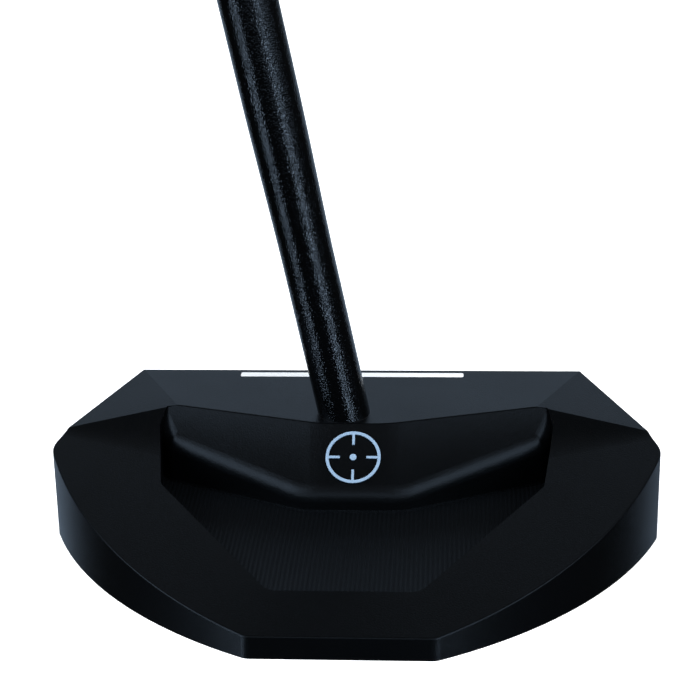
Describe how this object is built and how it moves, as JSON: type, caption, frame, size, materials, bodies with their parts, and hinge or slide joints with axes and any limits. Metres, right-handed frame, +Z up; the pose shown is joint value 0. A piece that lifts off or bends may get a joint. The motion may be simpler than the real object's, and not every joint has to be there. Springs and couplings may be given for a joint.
{
  "type": "mallet putter",
  "caption": "Right-handed mallet golf putter: deep aluminium head with a boomerang crown and milled pocket, centre-entry steel shaft and flat-front grip.",
  "frame": {"origin": "middle of the flat sole, on the ground, with the club at its address position", "axes": "+X from heel to toe, +Y from the back of the head to the target, +Z up; the shaft leans 11.3 degrees towards the heel"},
  "size_m": [0.2408, 0.0722, 0.8737],
  "materials": {
    "head_anodised": "bead-blasted black anodising",
    "insert_steel": "fly-cut stainless steel with level grooves",
    "adhesive": "cured epoxy with black pigment",
    "line_paint": "white paint fill",
    "mark_paint": "pale grey-blue paint fill",
    "shaft_coat": "black textured powder coat",
    "plug_plastic": "moulded nylon",
    "weight_steel": "black-oxide steel",
    "tape_paper": "double-sided paper tape",
    "grip_foam": "closed-cell foam",
    "grip_rubber": "moulded pebble texture",
    "collar_plastic": "gloss black trim"
  },
  "bodies": {
    "root": {"head_body": "head_anodised", "sight_line_fill": "line_paint", "sight_mark_fill": "mark_paint", "face_insert": "insert_steel", "face_bond": "adhesive", "shaft": "shaft_coat", "shaft_bond": "adhesive", "tip_plug": "plug_plastic", "grip_tape": "tape_paper", "grip_core": "grip_foam", "grip_skin": "grip_rubber", "grip_cap": "grip_rubber", "grip_collar": "collar_plastic", "sole_weight_1": "weight_steel", "sole_weight_2": "weight_steel", "sole_weight_3": "weight_steel", "sole_weight_4": "weight_steel", "sole_weight_5": "weight_steel", "sole_weight_6": "weight_steel", "sole_weight_7": "weight_steel", "sole_weight_8": "weight_steel"}
  },
  "joints": []
}
